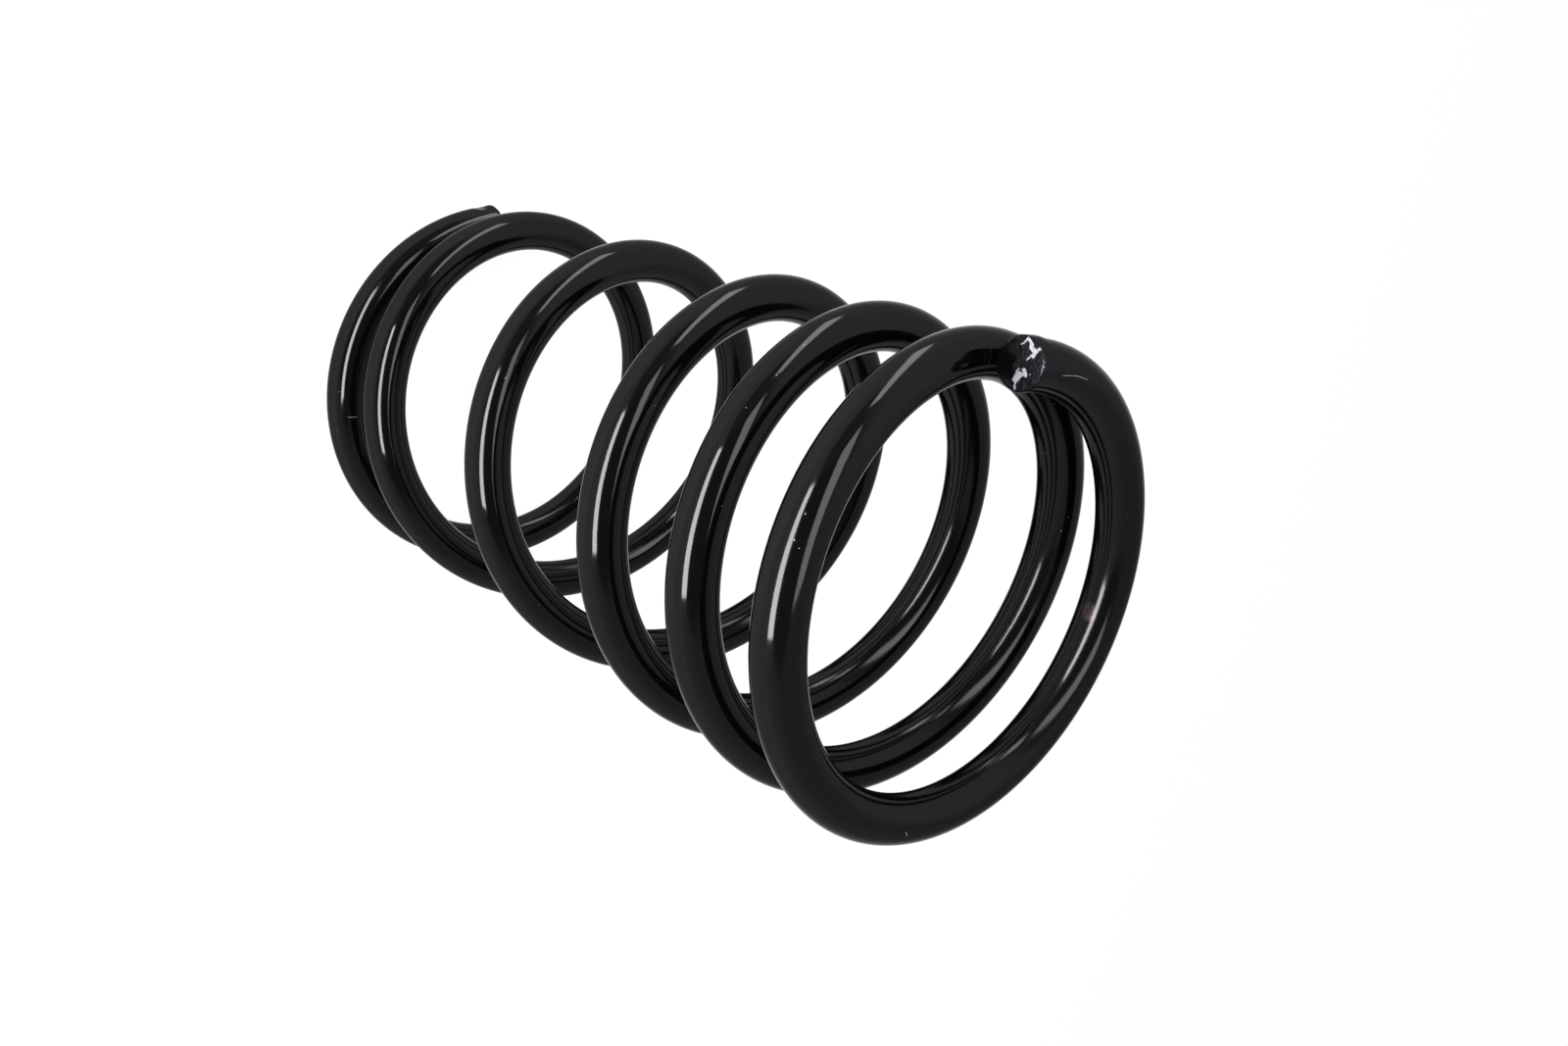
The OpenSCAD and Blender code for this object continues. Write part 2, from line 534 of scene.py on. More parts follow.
def is_rim(edge):
    """Tells whether an edge lies between a cut face and the bar's side."""
    is_cut_face = faces_along_bar(CUT_FACING)
    return sum(is_cut_face(face) for face in edge.link_faces) == 1


def rim_weight(edge):
    """Share of the widest rim: the upper cut's is wide below, the lower cut's is wide outside."""
    middle = (edge.verts[0].co + edge.verts[1].co) / 2
    if middle.x < BAR_LENGTH / 2:
        narrow, wide = LOWER_RIMS
        share = ((1 - middle.y / WIRE_R) / 2) ** 2
    else:
        narrow, wide = UPPER_RIMS
        share = (1 - middle.z / WIRE_R) / 2
    return (narrow + (wide - narrow) * share) / WIDEST_RIM


rim_edges = pick("edges", is_rim)
mesh = bmesh.from_edit_mesh(wire.data)
weight = mesh.edges.layers.float.new("bevel_weight_edge")
for edge in mesh.edges:
    edge[weight] = rim_weight(edge) if edge.select else 0
bmesh.update_edit_mesh(wire.data)
bpy.ops.object.mode_set(mode="OBJECT")

rounding = wire.modifiers.new("rounding", "BEVEL")
rounding.limit_method = "WEIGHT"
rounding.width = WIDEST_RIM
rounding.segments = RIM_STEPS
rounding.use_clamp_overlap = False
bpy.ops.object.modifier_apply(modifier=rounding.name)
bpy.ops.object.mode_set(mode="EDIT")
print("rim edges", rim_edges)

# %% [markdown]
# The torn faces are rough, and a rough face needs points to move. Many shallow bisects score both cut
# faces into small squares, first one way and then the other. Nothing is cleared this time.

# %% Scoring the cut faces
SCORE_STEP = 0.4 * MM


def score(count, across):
    """Cuts what is picked along evenly spaced planes that stand across a direction."""
    for index in range(-count, count + 1):
        place = Vector(across) * (index + 0.5) * SCORE_STEP
        bpy.ops.mesh.bisect(plane_co=place, plane_no=across)


lines = math.ceil((WIRE_R - RIM_BREAK) / SCORE_STEP)
for across in ((0, 1, 0), (0, 0, 1)):
    scored = pick("faces", faces_along_bar(FLAT_FACING))
    score(lines, across)
print("faces before the last scoring", scored)

# %% [markdown]
# The rest of the bar gets its rings: a short stretch at each end by itself, where the burr will be,
# and then the middle in two rounds, first into long pieces and then each of those into short ones.
# Subdivide is given only the edges that run along the bar, so the number of its sides stays the same.

# %% Rings along the bar
END_STRETCH = 14 * MM
END_RINGS = 20
MIDDLE_CUTS = 30
STRAIGHT = 0.99

for place in (END_STRETCH, BAR_LENGTH - END_STRETCH):
    bpy.ops.mesh.select_all(action="SELECT")
    bpy.ops.mesh.bisect(plane_co=(place, 0, 0), plane_no=(1, 0, 0))


def lengthwise(shortest, longest):
    """Makes a test for edges that run along the bar and whose length is in a range."""
    def test(edge):
        run = abs(edge.verts[0].co.x - edge.verts[1].co.x)
        return run > STRAIGHT * edge.calc_length() and shortest < run < longest
    return test


end_edges = pick("edges", lengthwise(END_STRETCH / 2, 2 * END_STRETCH))
bpy.ops.mesh.subdivide(number_cuts=END_RINGS - 1)
for longest in (BAR_LENGTH, BAR_LENGTH / 10):
    middle_edges = pick("edges", lengthwise(2 * END_STRETCH, longest))
    bpy.ops.mesh.subdivide(number_cuts=MIDDLE_CUTS)
bpy.ops.object.mode_set(mode="OBJECT")
print("edges cut:", end_edges, middle_edges, "; faces now", len(wire.data.polygons))

# %% [markdown]
# The cut faces get their own finish, because the coating is thin on them and has chipped off in
# places. Both materials are made here, still empty, and each face is given its slot while the cut
# faces are flat and easy to pick.

# %% Slots for the two finishes
coating = bpy.data.materials.new("gloss_black_coating")
sheared_steel = bpy.data.materials.new("coated_sheared_steel")
wire.data.materials.append(coating)
wire.data.materials.append(sheared_steel)

bpy.ops.object.mode_set(mode="EDIT")
cut_faces = pick("faces", faces_along_bar(ROUNDED_FACING))
wire.active_material_index = 1
bpy.ops.object.material_slot_assign()
print("faces of the two cuts", cut_faces)

# %% [markdown]
# The shears also drag the outer side of the bar outward into a burr, a low lip that catches the light.
# At the lower end their holder has pressed a dent behind it. Proportional editing does what the
# blade did: a few points are moved, and their neighbours follow less and less, up to a given distance.

# %% The burrs
BURR_WIDTH = 1.2 * MM
DENT_DEPTH = 0.6 * MM
LOWER_BURR = 0.25 * MM
UPPER_BURR = 0.4 * MM


def drag(test, move, reach):
    """Moves the points that pass a test, and their neighbours less and less up to the reach."""
    count = pick("verts", test)
    bpy.ops.transform.translate(
        value=move,
        use_proportional_edit=True,
        proportional_edit_falloff="SMOOTH",
        proportional_size=reach,
    )
    return count


def is_on_outside(start, end):
    """Makes a test for points on the outer side of the bar, between two places along it."""
    def test(vert):
        x, y, z = vert.co
        return y < -WIRE_R + RIM_BREAK / 2 and abs(z) < BURR_WIDTH and start < x < end
    return test


behind_burr = is_on_outside(3.0 * MM, 4.4 * MM)
lower_lip = is_on_outside(-STOCK, 1.0 * MM)
upper_lip = is_on_outside(BAR_LENGTH - 3.5 * MM, BAR_LENGTH + STOCK)
dented = drag(behind_burr, move=(0, DENT_DEPTH, 0), reach=2.4 * MM)
lower = drag(lower_lip, move=(0, -LOWER_BURR, 0), reach=2.0 * MM)
upper = drag(upper_lip, move=(0, -UPPER_BURR, 0), reach=4.0 * MM)
print("points that lead the dent and the burrs", dented, lower, upper)

# %% [markdown]
# The blade slides through the first half of the bar and leaves it smooth, with a nick or two at its
# rim. The rest tears off and lies a little deeper, and the smooth half rounds down to it. Each
# hollow is one more drag: the points close to a place on the upper cut are pushed into the bar.

# %% Hollows of the upper cut
CUT_REACH = 2 * MM
RIM_LEFT = 0.4 * MM
HOLLOWS = (
    # out, up, half length along out, half width along up, depth and reach, in mm
    (0.3, 1.2, 3.8, 1.2, 0.45, 1.7),
    (-2.6, 3.6, 0.9, 0.6, 0.35, 1.2),
    (3.1, 0.9, 0.5, 0.3, 0.20, 0.9),
    (4.9, -3.2, 0.3, 0.3, 0.30, 0.7),
    (4.1, -4.4, 0.2, 0.3, 0.25, 0.6),
)


def is_near(out, up, half_length, half_width):
    """Makes a test for points of the upper cut close to a place, in mm outward and upward."""
    def test(vert):
        x, y, z = vert.co
        on_cut = x > BAR_LENGTH - CUT_REACH and math.hypot(y, z) < WIRE_R - RIM_LEFT
        return on_cut and abs(-y / MM - out) < half_length and abs(z / MM - up) < half_width
    return test


pushed = 0
for out, up, half_length, half_width, depth, reach in HOLLOWS:
    pushed += drag(is_near(out, up, half_length, half_width), (-depth * MM, 0, 0), reach * MM)
bpy.ops.object.mode_set(mode="OBJECT")
print("points that lead the hollows", pushed)

# %% [markdown]
# Torn steel is rough, and sheared steel has faint ripples. By hand one would sculpt them. In code the
# Displace modifier is easier: it moves each point along the bar by a cloud pattern. A vertex group says
# how far: fully on the torn half of the upper cut, less on the lower cut, little on the smooth half,
# and hardly at all at the rims.

# %% Tearing the cut faces
TEAR_DEPTH = 0.8 * MM
TEAR_GRAIN = 1.1 * MM
TORN_WEIGHT = 1.0
LOWER_WEIGHT = 0.5
SMOOTH_WEIGHT = 0.06
LEAST_INSET = 0.1

torn = wire.vertex_groups.new(name="torn_steel")
moving = 0
for vertex in wire.data.vertices:
    x, y, z = vertex.co
    inset = (WIRE_R - math.hypot(y, z)) / (2 * RIM_BREAK)
    weight = TORN_WEIGHT if z > 0 else SMOOTH_WEIGHT
    if x < END_STRETCH:
        weight = LOWER_WEIGHT
    nearest_end = BAR_LENGTH * round(x / BAR_LENGTH)
    if inset > LEAST_INSET and abs(x - nearest_end) < STOCK:
        torn.add([vertex.index], weight * min(inset, 1), "REPLACE")
        moving += 1

clouds = bpy.data.textures.new("torn_steel", "CLOUDS")
clouds.noise_scale = TEAR_GRAIN
clouds.noise_depth = 3
tearing = wire.modifiers.new("tearing", "DISPLACE")
tearing.texture = clouds
tearing.texture_coords = "LOCAL"
tearing.direction = "X"
tearing.vertex_group = torn.name
tearing.strength = TEAR_DEPTH
tearing.mid_level = 0.5
bpy.ops.object.modifier_apply(modifier=tearing.name)
wire.vertex_groups.clear()
print("points of the cut faces that the clouds move", moving)

# %% [markdown]
# The coating has marks at known places on the wire, and its grain must not slide or stretch when the
# bar is wound. So each point remembers where it was on the straight bar, in an attribute that
# the materials read later. It is written while the bar is still straight.

# %% Remembering the straight bar
BAR_PLACE = "bar_place"
memory = wire.data.attributes.new(BAR_PLACE, "FLOAT_VECTOR", "POINT")
for vertex, place in zip(wire.data.vertices, memory.data):
    place.vector = vertex.co
print("points that remember their place", len(memory.data))

# %% [markdown]
# Winding is one modifier. Curve bends the bar along the path, and applying it makes the coil a plain
# mesh. The path has done its work then and is deleted.

# %% Winding the bar
SMOOTH_ANGLE = math.radians(50)

winding = wire.modifiers.new("winding", "CURVE")
winding.object = coil_path
winding.deform_axis = "POS_X"
bpy.ops.object.select_all(action="DESELECT")
wire.select_set(True)
bpy.context.view_layer.objects.active = wire
bpy.ops.object.modifier_apply(modifier=winding.name)
bpy.data.objects.remove(coil_path)
bpy.ops.object.shade_smooth_by_angle(angle=SMOOTH_ANGLE)

lowest, highest = wire.bound_box[0], wire.bound_box[6]
print("wound from", [round(c / MM, 2) for c in lowest], "to", [round(c / MM, 2) for c in highest])

# %% [markdown]
# The finishes are put together from three effects: the relief of the coating, strokes and dust. Strokes
# come many times over and in both finishes. So each effect is a node group, a small network with named
# inputs and outputs, built once and placed in a material with its own values. A group puts out only a
# mask or a height. The shader itself stays in the material.

# %% Helpers for node groups
SOCKET_TYPES = {"value": "NodeSocketFloat", "vector": "NodeSocketVector"}
FINE_DETAIL = 4.0
NOISE_MIDDLE = 0.5


def new_group(name, inputs, output):
    """Starts a node group and returns it with its input sockets and its one output socket."""
    group = bpy.data.node_groups.new(name, "ShaderNodeTree")
    for title, kind in inputs.items():
        group.interface.new_socket(name=title, in_out="INPUT", socket_type=SOCKET_TYPES[kind])
    group.interface.new_socket(name=output, in_out="OUTPUT", socket_type=SOCKET_TYPES["value"])
    given = group.nodes.new("NodeGroupInput").outputs
    return group, given, group.nodes.new("NodeGroupOutput").inputs[0]


def place_group(tree, group, values):
    """Puts a group into a material with its own values and returns its output."""
    node = tree.nodes.new("ShaderNodeGroup")
    node.node_tree = group
    for title, value in values.items():
        feed(tree, node.inputs[title], value)
    return node.outputs[0]


def noise(tree, place, size, detail=2.0, output="Fac"):
    """Noise whose spots are about as wide as the given size."""
    node = tree.nodes.new("ShaderNodeTexNoise")
    node.inputs["Detail"].default_value = detail
    feed(tree, node.inputs["Vector"], place)
    feed(tree, node.inputs["Scale"], calc(tree, "DIVIDE", 1.0, size))
    return node.outputs[output]


# %% [markdown]
# A sprayed and baked coating is never quite flat. It has orange peel, a soft waviness that makes the
# edges of the highlights wander. The spray hardly reaches the inside of a coil, so there the coating
# is also grainy, and its highlights sparkle. One group makes both heights, in metres.

# %% Group: relief of the coating
relief_group, given, result = new_group(
    "coating_relief",
    {
        "Place": "vector", "Peel size": "value", "Peel depth": "value",
        "Grain size": "value", "Grain depth": "value",
    },
    "Height",
)
peel = noise(relief_group, given["Place"], given["Peel size"])
grain = noise(relief_group, given["Place"], given["Grain size"])
peel = calc(relief_group, "MULTIPLY", peel, given["Peel depth"])
grain = calc(relief_group, "MULTIPLY", grain, given["Grain depth"])
feed(relief_group, result, calc(relief_group, "ADD", peel, grain))
print(relief_group.name, "has", len(relief_group.nodes), "nodes")

# %% [markdown]
# Scratches, rub marks and chips are all strokes, like those of a pen: everything that lies close to a
# short line. The group measures how far a place is from the line between two points, and fades
# the stroke out over its softness. Wobbling the place before it comes in makes the stroke ragged.

# %% Group: stroke
stroke_group, given, result = new_group(
    "stroke",
    {"Place": "vector", "Start": "vector", "End": "vector", "Half width": "value", "Softness": "value"},
    "Mask",
)
line = vector_calc(stroke_group, "SUBTRACT", given["End"], given["Start"])
from_start = vector_calc(stroke_group, "SUBTRACT", given["Place"], given["Start"])
line_squared = vector_calc(stroke_group, "DOT_PRODUCT", line, line)
along_line = vector_calc(stroke_group, "DOT_PRODUCT", from_start, line)
share = calc(stroke_group, "DIVIDE", along_line, line_squared)
share = calc(stroke_group, "MINIMUM", calc(stroke_group, "MAXIMUM", share, 0.0), 1.0)
nearest = vector_calc(stroke_group, "MULTIPLY", line, share)
distance = vector_calc(stroke_group, "DISTANCE", from_start, nearest)
outer = calc(stroke_group, "ADD", given["Half width"], given["Softness"])
outside = fade_between(stroke_group, distance, given["Half width"], outer)
feed(stroke_group, result, calc(stroke_group, "SUBTRACT", 1.0, outside))
print(stroke_group.name, "has", len(stroke_group.nodes), "nodes")

# %% [markdown]
# A few specks of dust lie on everything. Voronoi scatters points in space, and a small ball round each
# point shows where it touches the surface. The random colour of each cell gives the balls their sizes.

# %% Group: dust specks
SPECK_CORE = 0.6

dust_group, given, result = new_group(
    "dust_specks",
    {"Place": "vector", "Spacing": "value", "Speck size": "value"},
    "Mask",
)
cells = dust_group.nodes.new("ShaderNodeTexVoronoi")
feed(dust_group, cells.inputs["Vector"], given["Place"])
feed(dust_group, cells.inputs["Scale"], calc(dust_group, "DIVIDE", 1.0, given["Spacing"]))
distance = calc(dust_group, "MULTIPLY", cells.outputs["Distance"], given["Spacing"])
half = calc(dust_group, "MULTIPLY", cells.outputs["Color"], 0.5)
radius = calc(dust_group, "MULTIPLY", half, given["Speck size"])
outside = fade_between(dust_group, distance, calc(dust_group, "MULTIPLY", radius, SPECK_CORE), radius)
feed(dust_group, result, calc(dust_group, "SUBTRACT", 1.0, outside))
print(dust_group.name, "has", len(dust_group.nodes), "nodes")

# %% [markdown]
# Both materials start alike: an empty Principled shader, and the place on the straight bar. For marks
# on the side of the wire that place is unrolled: along the bar, and round it from the upper side. The
# seam of the unrolled sheet then runs along the lower side, where there are no marks.


# %% Starting a finish
def start_finish(material):
    """Clears a material and returns its tree, its Principled shader and the bar place."""
    material.use_nodes = True
    tree = material.node_tree
    tree.nodes.clear()
    shader = tree.nodes.new("ShaderNodeBsdfPrincipled")
    output = tree.nodes.new("ShaderNodeOutputMaterial")
    tree.links.new(shader.outputs[0], output.inputs["Surface"])
    memory = tree.nodes.new("ShaderNodeAttribute")
    memory.attribute_name = BAR_PLACE
    return tree, shader, memory.outputs["Vector"]


def combine(tree, x, y, z):
    """Makes a vector from three numbers."""
    node = tree.nodes.new("ShaderNodeCombineXYZ")
    for socket, value in zip(node.inputs, (x, y, z)):
        feed(tree, socket, value)
    return node.outputs[0]


def strokes(tree, place, marks):
    """Adds strokes, each a start, an end, a half width and a softness, and returns their mask."""
    mask = 0.0
    for start, end, half_width, softness in marks:
        stroke = place_group(tree, stroke_group, {
            "Place": place, "Start": start, "End": end, "Half width": half_width, "Softness": softness,
        })
        mask = calc(tree, "MAXIMUM", stroke, mask)
    return mask


def ragged(tree, place, seen_at, size, reach, detail=2.0):
    """Moves a place to and fro by noise, so that a stroke drawn there gets ragged borders."""
    wobble = noise(tree, seen_at, size, detail, output="Color")
    wobble = vector_calc(tree, "SUBTRACT", wobble, (NOISE_MIDDLE,) * 3)
    return vector_calc(tree, "ADD", place, vector_calc(tree, "MULTIPLY", wobble, reach))


def bump(tree, shader, height):
    """Turns a height in metres into the shader's normal."""
    node = tree.nodes.new("ShaderNodeBump")
    node.inputs["Distance"].default_value = 1.0
    feed(tree, node.inputs["Height"], height)
    tree.links.new(node.outputs[0], shader.inputs["Normal"])


# %% [markdown]
# Gloss black paint is nearly all mirror and has hardly any colour. A plain dielectric mirrors the white
# floor strongly at grazing angles, and the wire would get pale borders that the real one doesn't show.
# The metallic side of the Principled shader has a tint for just those angles, so most of the mirror
# comes from there: a very dark base colour sets how much it mirrors head-on, and the tint holds its
# edges back. The relief of the spray comes first, and the grain only on the inner side of the coil.

# %% Gloss black coating
COATING_BLACK = (0.0198, 0.0196, 0.0204, 1)
COATING_METALLIC = 0.95
COATING_EDGES = (0.52, 0.52, 0.52, 1)
COATING_ROUGHNESS = 0.085
PEEL_SIZE = 5 * MM
PEEL_DEPTH = 0.02 * MM
GRAIN_SIZE = 0.35 * MM
GRAIN_DEPTH = 0.006 * MM
INNER_SIDE_FADE = (0.1 * WIRE_R, 0.8 * WIRE_R)

tree, shader, bar_place = start_finish(coating)
shader.inputs["Specular Tint"].default_value = COATING_EDGES
along, inward, up = take_apart(tree, bar_place)
round_bar = calc(tree, "MULTIPLY", calc(tree, "ARCTAN2", inward, up), WIRE_R)
side_place = combine(tree, along, round_bar, 0.0)

inner_side = fade_between(tree, inward, *INNER_SIDE_FADE)
height = place_group(tree, relief_group, {
    "Place": bar_place, "Peel size": PEEL_SIZE, "Peel depth": PEEL_DEPTH,
    "Grain size": GRAIN_SIZE, "Grain depth": calc(tree, "MULTIPLY", inner_side, GRAIN_DEPTH),
})
print(coating.name, "has", len(tree.nodes), "nodes so far")

# %% [markdown]
# The marks on the side of the wire are given by the turn they are at, the side of the wire in degrees
# (0 is outward, 90 up, 180 inward), their length, their heading (0 runs along the wire, 90 round it)
# and their half width and softness. Light marks are scratches and specks that show the primer. The
# brown ones are soft rub marks, where something rusty has dulled the coating, and one of them is
# long and faint. One brown mark, on the turn just below the upper cut, is no rub but a painted
# reflection: the cut end mirrored brown in the gloss.


# %% Marks on the coating
def mark(turn, side, length, heading, half_width, softness):
    """Start, end, half width and softness of a mark, on the unrolled side of the wire."""
    middle = Vector((bar_at(turn), WIRE_R * math.radians(side - 90), 0))
    run = Vector((math.cos(math.radians(heading)), math.sin(math.radians(heading)), 0)) * length / 2
    return middle - run, middle + run, half_width, softness


LIGHT_MARKS = (
    mark(0.2435, 80, 3.0 * MM, 86, 0.02 * MM, 0.12 * MM),
    mark(5.4355, 83, 1.6 * MM, -42, 0.04 * MM, 0.10 * MM),
    mark(5.9495, 95, 5.2 * MM, 8, 0.02 * MM, 0.09 * MM),
    mark(5.9356, 90, 5.4 * MM, 3, 0.02 * MM, 0.09 * MM),
    mark(5.1576, 35, 0.1 * MM, 0, 0.05 * MM, 0.12 * MM),
    mark(5.1723, 33, 0.3 * MM, 60, 0.04 * MM, 0.10 * MM),
    mark(4.0884, 41, 0.1 * MM, 0, 0.06 * MM, 0.12 * MM),
    mark(2.1572, 60, 0.1 * MM, 0, 0.05 * MM, 0.12 * MM),
)
RUB_AND_REFLECTION_MARKS = (
    mark(5.6945, 178, 2.2 * MM, 10, 0.7 * MM, 1.8 * MM),
    # painted reflection, not a rub: the upper cut end mirrored brown in the gloss of this turn
    mark(4.9853, 83, 2.4 * MM, 80, 0.2 * MM, 0.8 * MM),
)
FAINT_MARKS = (mark(4.6980, 111, 16.0 * MM, 0, 0.8 * MM, 3.2 * MM),)
FAINT_SHARE = 0.45
RAGGED_SIZE = 0.5 * MM
RAGGED_REACH = 0.4 * MM
MOTTLE_SIZE = 0.7 * MM
MOTTLE_FADE = (0.35, 0.65)
LEAST_RUB = 0.45
DUST_SPACING = 4.2 * MM
SPECK_SIZE = 0.36 * MM

light = strokes(tree, side_place, LIGHT_MARKS)
flat_place = ragged(tree, side_place, bar_place, RAGGED_SIZE, (RAGGED_REACH,) * 3)
flat_place = vector_calc(tree, "MULTIPLY", flat_place, (1, 1, 0))
faint = calc(tree, "MULTIPLY", strokes(tree, flat_place, FAINT_MARKS), FAINT_SHARE)
rub_and_reflection = calc(tree, "MAXIMUM", strokes(tree, flat_place, RUB_AND_REFLECTION_MARKS), faint)
mottle = fade_between(tree, noise(tree, bar_place, MOTTLE_SIZE, detail=FINE_DETAIL), *MOTTLE_FADE)
rub_and_reflection = calc(tree, "MULTIPLY", rub_and_reflection, blend(tree, mottle, LEAST_RUB, 1.0))
dusty = place_group(tree, dust_group, {
    "Place": bar_place, "Spacing": DUST_SPACING, "Speck size": SPECK_SIZE,
})
print("marks on the coating", len(LIGHT_MARKS) + len(RUB_AND_REFLECTION_MARKS) + len(FAINT_MARKS))

# %% [markdown]
# Now the masks meet the shader. What lies on the mirror, dust or bared primer, is matt and not metallic.
# A rub mark stays a mirror, only duller and browner, and so does the painted reflection of the cut end.
# A broad haze makes the gloss a little uneven, and on the grainy inner side it is duller everywhere.

# %% Colour, gloss and height of the coating
MARK_COLOUR = (0.22, 0.22, 0.23, 1)
MARK_ROUGHNESS = 0.5
RUB_AND_REFLECTION_COLOUR = (0.068, 0.049, 0.045, 1)
RUB_ROUGHNESS = 0.33
DUST_COLOUR = (0.30, 0.30, 0.31, 1)
HAZE_SIZE = 30 * MM
HAZE_FADE = (0.45, 0.75)
HAZE_ROUGHNESS = 1.6 * COATING_ROUGHNESS
INNER_ROUGHNESS = 1.7 * COATING_ROUGHNESS
SCRATCH_DEPTH = 0.03 * MM

# The brown colour is the rub marks and the painted reflection of the upper cut end.
colour = blend(tree, rub_and_reflection, COATING_BLACK, RUB_AND_REFLECTION_COLOUR, colour=True)
colour = blend(tree, dusty, colour, DUST_COLOUR, colour=True)
colour = blend(tree, light, colour, MARK_COLOUR, colour=True)
feed(tree, shader.inputs["Base Color"], colour)
covered = calc(tree, "MAXIMUM", light, dusty)
feed(tree, shader.inputs["Metallic"], blend(tree, covered, COATING_METALLIC, 0.0))
haze = fade_between(tree, noise(tree, bar_place, HAZE_SIZE, detail=FINE_DETAIL), *HAZE_FADE)
roughness = blend(tree, haze, COATING_ROUGHNESS, HAZE_ROUGHNESS)
roughness = blend(tree, inner_side, roughness, INNER_ROUGHNESS)
roughness = blend(tree, rub_and_reflection, roughness, RUB_ROUGHNESS)
feed(tree, shader.inputs["Roughness"], blend(tree, covered, roughness, MARK_ROUGHNESS))
scratched = calc(tree, "MULTIPLY", light, -SCRATCH_DEPTH)
bump(tree, shader, calc(tree, "ADD", height, scratched))
print(coating.name, "has", len(tree.nodes), "nodes")

# %% [markdown]
# On the cut faces the coating lies thin over rough steel, so it looks matt. One half of the upper cut is
# smooth and nearly black. The torn half is dark grey and fibrous, with fibres that run outward from the
# coil, and there the coating has chipped off in two ragged places. The bare steel in them is the
# brightest thing on the spring, next to its highlights. The chips and a few spots of painted shade,
# where small dents and hollows of the torn steel lie in shadow, are strokes again, drawn on the face
# from one point to the next. The lower cut, which few will see, gets its chips from noise alone.

# %% Chips and painted shade of the cut faces
CHIPS = (
    # start and end (out and up) and half width, in mm
    ((4.7, -0.3), (6.2, 1.1), 0.18), ((6.2, 1.1), (5.6, 1.9), 0.30),
    ((5.6, 1.9), (4.2, 2.3), 0.42), ((4.2, 2.3), (3.8, 3.4), 0.55),
    ((3.8, 3.4), (2.5, 3.1), 0.42), ((3.9, 3.9), (4.8, 4.5), 0.28),
    ((2.9, 2.8), (1.4, 1.8), 0.14), ((-0.9, 1.3), (-1.9, 1.9), 0.38),
    ((-1.9, 1.9), (-2.4, 0.6), 0.35), ((-1.0, 0.1), (-2.2, -0.3), 0.22),
    ((-2.3, 0.3), (-3.8, -0.3), 0.62), ((-3.8, -0.4), (-5.7, -0.1), 0.22),
    ((-1.7, 3.3), (-1.8, 3.3), 0.10), ((2.2, 5.75), (0.8, 6.08), 0.026),
    ((0.8, 6.08), (-1.0, 5.8), 0.032),
)
# painted shade: dark strokes where small dents and hollows of the torn steel lie in shadow
PAINTED_SHADE_SPOTS = (
    ((-3.2, 3.6), (-4.2, 3.2), 0.45), ((-5.2, 0.9), (-5.6, 1.6), 0.30),
    ((4.6, -0.6), (3.2, -0.2), 0.25), ((4.9, -2.6), (4.6, -2.9), 0.20),
)
CHIP_SOFTNESS = 0.12 * MM
CHIP_RAGGED_SIZE = 0.9 * MM
CHIP_RAGGED_REACH = 1.1 * MM
LOWER_CHIP_SIZE = 3.2 * MM
LOWER_CHIP_FADE = (0.60, 0.64)


def on_face(rows):
    """Turns rows of a start, an end and a half width into strokes of a cut face."""
    return [
        ((0, -start[0] * MM, start[1] * MM), (0, -end[0] * MM, end[1] * MM), half * MM, CHIP_SOFTNESS)
        for start, end, half in rows
    ]


tree, shader, bar_place = start_finish(sheared_steel)
shader.inputs["Specular Tint"].default_value = COATING_EDGES
along, inward, up = take_apart(tree, bar_place)
upper_end = calc(tree, "GREATER_THAN", along, BAR_LENGTH / 2)
lower_end = calc(tree, "SUBTRACT", 1.0, upper_end)
face_place = vector_calc(tree, "MULTIPLY", bar_place, (0, 1, 1))
reach = (0, CHIP_RAGGED_REACH, CHIP_RAGGED_REACH)
ragged_place = ragged(tree, face_place, face_place, CHIP_RAGGED_SIZE, reach, detail=FINE_DETAIL)
bare = calc(tree, "MULTIPLY", strokes(tree, ragged_place, on_face(CHIPS)), upper_end)
dark = calc(tree, "MULTIPLY", strokes(tree, ragged_place, on_face(PAINTED_SHADE_SPOTS)), upper_end)
lower_chips = noise(tree, face_place, LOWER_CHIP_SIZE, detail=FINE_DETAIL)
lower_chips = fade_between(tree, lower_chips, *LOWER_CHIP_FADE)
bare = calc(tree, "MAXIMUM", bare, calc(tree, "MULTIPLY", lower_chips, lower_end))
print("strokes on the upper cut", len(CHIPS) + len(PAINTED_SHADE_SPOTS))

# %% [markdown]
# The border between the smooth half and the torn half bulges downward in the middle, and lumps in the
# steel make it wander. The fibres are noise that is stretched outward. They streak the torn half and
# give it a fine relief, and the chips lie a little below the coating.

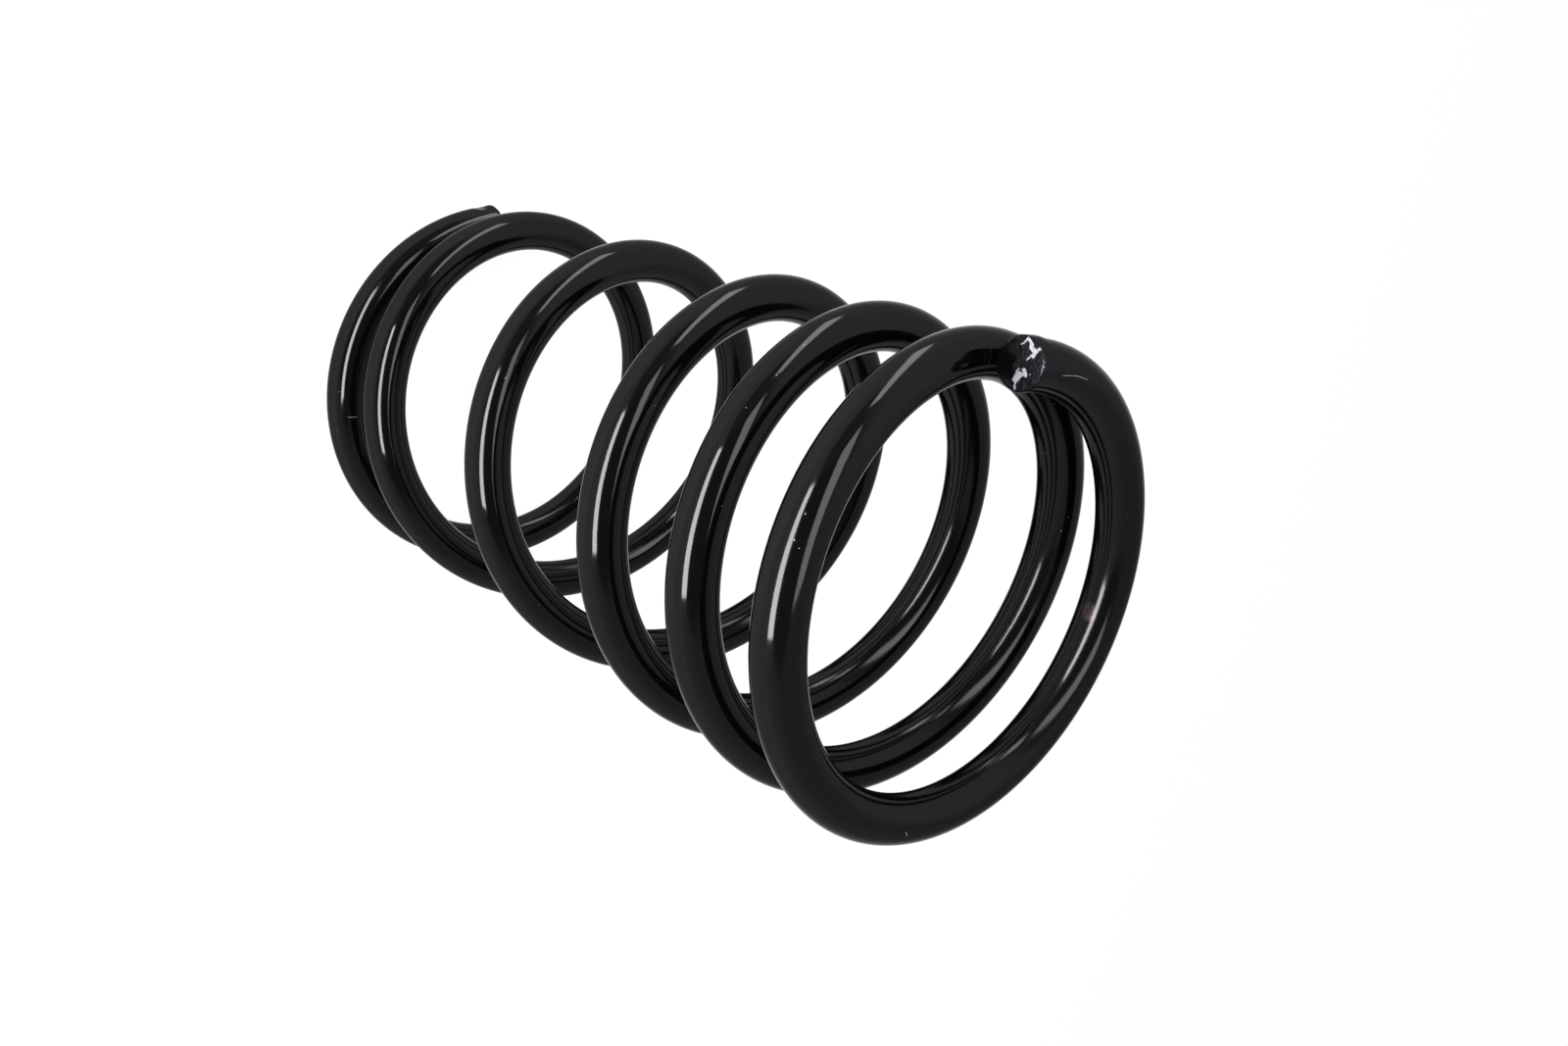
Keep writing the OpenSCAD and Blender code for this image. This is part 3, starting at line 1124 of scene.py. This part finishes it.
# %% Coated sheared steel
SMOOTH_BLACK = (0.018, 0.018, 0.019, 1)
TORN_DARK = (0.003, 0.003, 0.004, 1)
TORN_PALE = (0.011, 0.011, 0.013, 1)
BARE_STEEL = (0.22, 0.214, 0.230, 1)
SMOOTH_ROUGHNESS = 0.16
TORN_ROUGHNESS = 0.45
BARE_ROUGHNESS = 0.50
FIBRE_SIZE = 0.35 * MM
FIBRE_STRETCH = (0, 0.28, 1)
LUMP_SIZE = 1.6 * MM
LUMP_REACH = 1.6 * MM
TORN_BULGE = 1.3 * MM
BULGE_MIDDLE = 0.7 * MM
TORN_FADE = (-0.3 * MM, 0.1 * MM)
STREAK_FADE = (0.40, 0.65)
SMOOTH_RELIEF = 0.01 * MM
TORN_RELIEF = 0.10 * MM
CHIP_DEPTH = 0.06 * MM

fibre_place = vector_calc(tree, "MULTIPLY", ragged_place, FIBRE_STRETCH)
fibres = noise(tree, fibre_place, FIBRE_SIZE, detail=FINE_DETAIL)
lumps = noise(tree, face_place, LUMP_SIZE, detail=3.0)
wander = calc(tree, "MULTIPLY", calc(tree, "SUBTRACT", lumps, NOISE_MIDDLE), LUMP_REACH)
off_middle = calc(tree, "DIVIDE", calc(tree, "SUBTRACT", inward, BULGE_MIDDLE), WIRE_R)
bulge = calc(tree, "SUBTRACT", 1.0, calc(tree, "MULTIPLY", off_middle, off_middle))
ridge = calc(tree, "ADD", calc(tree, "ADD", up, wander), calc(tree, "MULTIPLY", bulge, TORN_BULGE))
torn = calc(tree, "MAXIMUM", fade_between(tree, ridge, *TORN_FADE), lower_end)

streaks = calc(tree, "MULTIPLY", fibres, calc(tree, "ADD", lumps, 0.5))
streaks = fade_between(tree, streaks, *STREAK_FADE)
torn_colour = blend(tree, streaks, TORN_DARK, TORN_PALE, colour=True)
painted = blend(tree, torn, SMOOTH_BLACK, torn_colour, colour=True)
# Painted shade darkens the coating in the small dents and hollows of the torn half.
painted = blend(tree, dark, painted, TORN_DARK, colour=True)
feed(tree, shader.inputs["Base Color"], blend(tree, bare, painted, BARE_STEEL, colour=True))
feed(tree, shader.inputs["Metallic"], blend(tree, bare, COATING_METALLIC, 1.0))
roughness = blend(tree, torn, SMOOTH_ROUGHNESS, TORN_ROUGHNESS)
feed(tree, shader.inputs["Roughness"], blend(tree, bare, roughness, BARE_ROUGHNESS))
rough_height = calc(tree, "MULTIPLY", fibres, blend(tree, torn, SMOOTH_RELIEF, TORN_RELIEF))
chipped = calc(tree, "MULTIPLY", bare, -CHIP_DEPTH)
bump(tree, shader, calc(tree, "ADD", rough_height, chipped))
print(sheared_steel.name, "has", len(tree.nodes), "nodes")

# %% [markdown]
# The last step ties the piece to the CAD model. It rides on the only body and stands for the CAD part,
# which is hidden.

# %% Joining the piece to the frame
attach(wire, "root")
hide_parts(PART)
